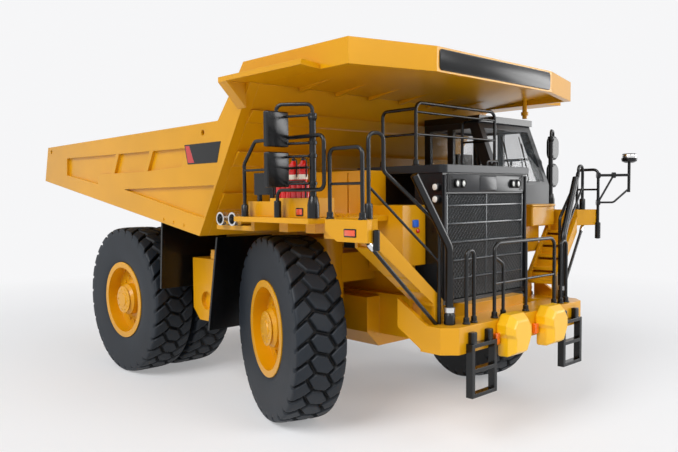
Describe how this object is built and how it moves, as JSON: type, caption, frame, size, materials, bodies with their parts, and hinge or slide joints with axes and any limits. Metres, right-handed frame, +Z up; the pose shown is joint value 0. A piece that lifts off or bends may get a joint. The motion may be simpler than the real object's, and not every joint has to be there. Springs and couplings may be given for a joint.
{
  "type": "die-cast scale model of a mining dump truck",
  "caption": "Die-cast display model of a rigid mining dump truck with a tipping body, rolling wheels and steered front axle.",
  "frame": {"origin": "centre of the bounding box, on the ground under the wheels", "axes": "+X forward along the truck, +Y to its left, +Z up"},
  "size_m": [0.2164, 0.1336, 0.1066],
  "materials": {
    "yellow_paint": "satin",
    "pod_paint": "satin",
    "dark_paint": "satin",
    "black_plastic": "matte",
    "red_plastic": "gloss",
    "tyre_rubber": "matte",
    "bright_metal": "polished",
    "clear_glass": "gloss",
    "lamp_white": "gloss"
  },
  "bodies": {
    "chassis": {"frame": "yellow_paint", "front_bumper": "yellow_paint", "side_boxes": "yellow_paint", "deck_right": "yellow_paint", "deck_left": "yellow_paint", "lockers": "yellow_paint", "side_bin": "yellow_paint", "stair_right": "yellow_paint", "stair_left": "yellow_paint", "front_struts": "yellow_paint", "tanks": "yellow_paint", "headlamp_pods": "pod_paint", "engine_block": "dark_paint", "hood": "dark_paint", "cab_shell": "dark_paint", "rear_axle": "dark_paint", "radiator": "black_plastic", "grille": "black_plastic", "ladders": "black_plastic", "rails_right": "black_plastic", "rails_left": "black_plastic", "rails_front": "black_plastic", "rails_hood": "black_plastic", "mirrors_right": "black_plastic", "mirrors_left": "black_plastic", "beacon_arm": "black_plastic", "cab_roof": "black_plastic", "cab_seat": "black_plastic", "sign_board": "black_plastic", "front_flaps": "black_plastic", "extinguishers": "red_plastic", "exhaust_pipes": "bright_metal", "cab_glass": "clear_glass", "lamps": "lamp_white"},
    "dump_body": {"body_floor": "yellow_paint", "body_side_left": "yellow_paint", "body_side_right": "yellow_paint", "body_front_wall": "yellow_paint", "body_canopy": "yellow_paint", "rear_flaps": "black_plastic"},
    "knuckle_left": {"knuckle_left": "dark_paint"},
    "knuckle_right": {"knuckle_right": "dark_paint"},
    "front_wheel_left": {"front_rim_left": "yellow_paint", "front_tyre_left": "tyre_rubber"},
    "front_wheel_right": {"front_rim_right": "yellow_paint", "front_tyre_right": "tyre_rubber"},
    "rear_wheels_left": {"rear_rims_left": "yellow_paint", "rear_tyres_left": "tyre_rubber"},
    "rear_wheels_right": {"rear_rims_right": "yellow_paint", "rear_tyres_right": "tyre_rubber"},
    "hoist_barrel_left": {"hoist_barrel_left": "dark_paint"},
    "hoist_barrel_right": {"hoist_barrel_right": "dark_paint"},
    "hoist_rod_left": {"hoist_rod_left": "bright_metal"},
    "hoist_rod_right": {"hoist_rod_right": "bright_metal"}
  },
  "joints": [
    {"name": "dump_hinge", "type": "hinge", "parent": "chassis", "child": "dump_body", "pos_m": [-0.064, 0, 0.056], "axis": [0, -1, 0], "range_deg": [0, 50]},
    {"name": "steering_left", "type": "hinge", "parent": "chassis", "child": "knuckle_left", "pos_m": [0.0493, 0.028, 0.028], "axis": [0, 0, 1], "range_deg": [-6.4, 43.6]},
    {"name": "front_wheel_left_spin", "type": "hinge", "parent": "knuckle_left", "child": "front_wheel_left", "pos_m": [0.05357, 0.0407, 0.028], "axis": [0.319, 0.9478, 0], "continuous": true},
    {"name": "rear_wheels_left_spin", "type": "hinge", "parent": "chassis", "child": "rear_wheels_left", "pos_m": [-0.0441, 0.0438, 0.028], "axis": [0, 1, 0], "continuous": true},
    {"name": "hoist_swing_left", "type": "hinge", "parent": "chassis", "child": "hoist_barrel_left", "pos_m": [-0.022, 0.0144, 0.022], "axis": [0, -1, 0], "range_deg": [0, 5]},
    {"name": "hoist_slide_left", "type": "slide", "parent": "hoist_barrel_left", "child": "hoist_rod_left", "axis": [-0.3457, 0, 0.9383], "range_m": [0, 0.0236]},
    {"name": "steering_right", "type": "hinge", "parent": "chassis", "child": "knuckle_right", "pos_m": [0.0493, -0.028, 0.028], "axis": [0, 0, 1], "range_deg": [-6.4, 43.6]},
    {"name": "front_wheel_right_spin", "type": "hinge", "parent": "knuckle_right", "child": "front_wheel_right", "pos_m": [0.04503, -0.0407, 0.028], "axis": [0.319, 0.9478, 0], "continuous": true},
    {"name": "rear_wheels_right_spin", "type": "hinge", "parent": "chassis", "child": "rear_wheels_right", "pos_m": [-0.0441, -0.0438, 0.028], "axis": [0, 1, 0], "continuous": true},
    {"name": "hoist_swing_right", "type": "hinge", "parent": "chassis", "child": "hoist_barrel_right", "pos_m": [-0.022, -0.0144, 0.022], "axis": [0, -1, 0], "range_deg": [0, 5]},
    {"name": "hoist_slide_right", "type": "slide", "parent": "hoist_barrel_right", "child": "hoist_rod_right", "axis": [-0.3457, 0, 0.9383], "range_m": [0, 0.0236]}
  ],
  "couplings": [
    {"joint": "hoist_swing_left", "follows": "dump_hinge", "ratio": 0.096},
    {"joint": "hoist_slide_left", "follows": "dump_hinge", "m_per_rad": 0.02695},
    {"joint": "hoist_swing_right", "follows": "dump_hinge", "ratio": 0.096},
    {"joint": "hoist_slide_right", "follows": "dump_hinge", "m_per_rad": 0.02695},
    {"joint": "steering_right", "follows": "steering_left", "ratio": 1}
  ]
}
